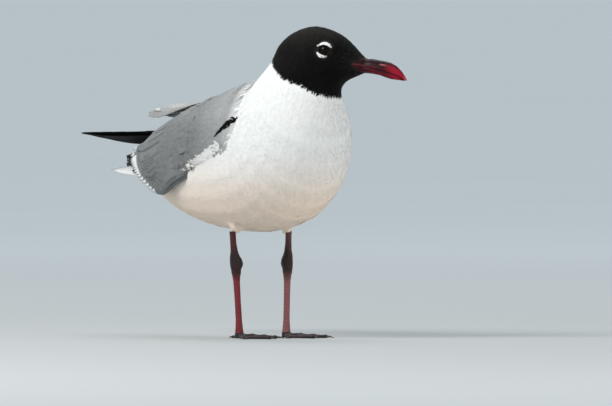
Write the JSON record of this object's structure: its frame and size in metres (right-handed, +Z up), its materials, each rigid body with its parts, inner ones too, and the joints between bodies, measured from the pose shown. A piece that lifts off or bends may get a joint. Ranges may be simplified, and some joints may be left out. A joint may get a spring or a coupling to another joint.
{
  "type": "laughing gull, standing at rest, life-size museum model",
  "caption": "Life-size still model of a black-hooded gull standing on its webbed feet, head turned left, wings closed and crossed over the tail.",
  "frame": {"origin": "centre of the bird's bounding box in plan, on the floor under its soles", "axes": "+Z up, the bird's body faces -Y, its right side is -X; the longest extent, from the bill to the wing tips, lies along Y"},
  "size_m": [0.1064, 0.3304, 0.2268],
  "materials": {
    "white_plumage": "matte",
    "hood": "matte",
    "grey_wing": "matte",
    "black_feather": "satin",
    "bill_red": "satin",
    "leg_red": "satin",
    "foot_dark": "satin",
    "claw_black": "satin",
    "eye_dark": "gloss"
  },
  "bodies": {
    "root": {"head": "hood", "neck": "white_plumage", "trunk": "white_plumage", "tail": "white_plumage", "mantle": "grey_wing", "upper_bill": "bill_red", "lower_bill": "bill_red", "right_eye": "eye_dark", "right_wing_coverts": "grey_wing", "right_secondaries": "grey_wing", "right_tertials": "grey_wing", "right_primaries": "black_feather", "right_thigh": "white_plumage", "right_shin": "leg_red", "right_tarsus": "leg_red", "right_foot": "foot_dark", "right_inner_claw": "claw_black", "right_middle_claw": "claw_black", "right_outer_claw": "claw_black", "right_hind_claw": "claw_black", "left_eye": "eye_dark", "left_wing_coverts": "grey_wing", "left_secondaries": "grey_wing", "left_tertials": "grey_wing", "left_primaries": "black_feather", "left_thigh": "white_plumage", "left_shin": "leg_red", "left_tarsus": "leg_red", "left_foot": "foot_dark", "left_inner_claw": "claw_black", "left_middle_claw": "claw_black", "left_outer_claw": "claw_black", "left_hind_claw": "claw_black"}
  },
  "joints": []
}
